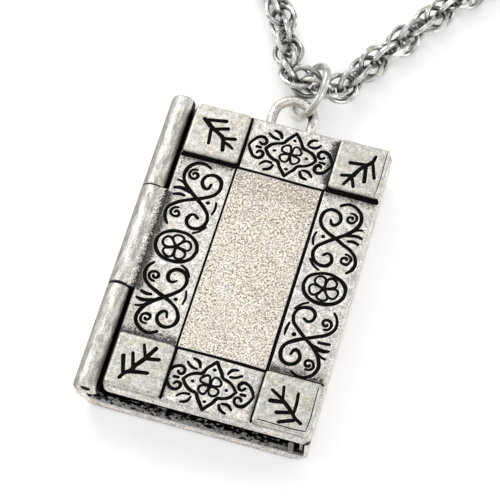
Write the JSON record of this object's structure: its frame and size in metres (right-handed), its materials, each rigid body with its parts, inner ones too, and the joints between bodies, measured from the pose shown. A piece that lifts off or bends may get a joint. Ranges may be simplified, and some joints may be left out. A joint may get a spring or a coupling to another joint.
{
  "type": "book-shaped locket necklace",
  "caption": "Book-shaped locket with a hinged front cover, raised corner plates and engraved borders, lying flat on a jump ring and a closed loop of rope chain.",
  "frame": {"origin": "middle of the locket's flat back, on the surface that it lies on", "axes": "+X towards the side where the covers open, +Y from the locket towards its bail and chain, +Z out of the front cover"},
  "size_m": [0.1249, 0.2208, 0.0058],
  "materials": {
    "aged_silver": "antique silver plate on a zinc casting, black in the grooves",
    "pin_steel": "dull drawn wire",
    "ring_silver": "bright silver plate",
    "chain_silver": "silver plate, darker between the links"
  },
  "bodies": {
    "base": {"back_cover": "aged_silver", "hinge_pin": "pin_steel", "jump_ring": "ring_silver", "chain": "chain_silver", "clasp": "chain_silver"},
    "cover": {"front_cover": "aged_silver"}
  },
  "joints": [
    {"name": "cover_hinge", "type": "hinge", "parent": "base", "child": "cover", "pos_m": [-0.0113, 0, 0.00395], "axis": [0, -1, 0], "range_deg": [0, 150]}
  ]
}
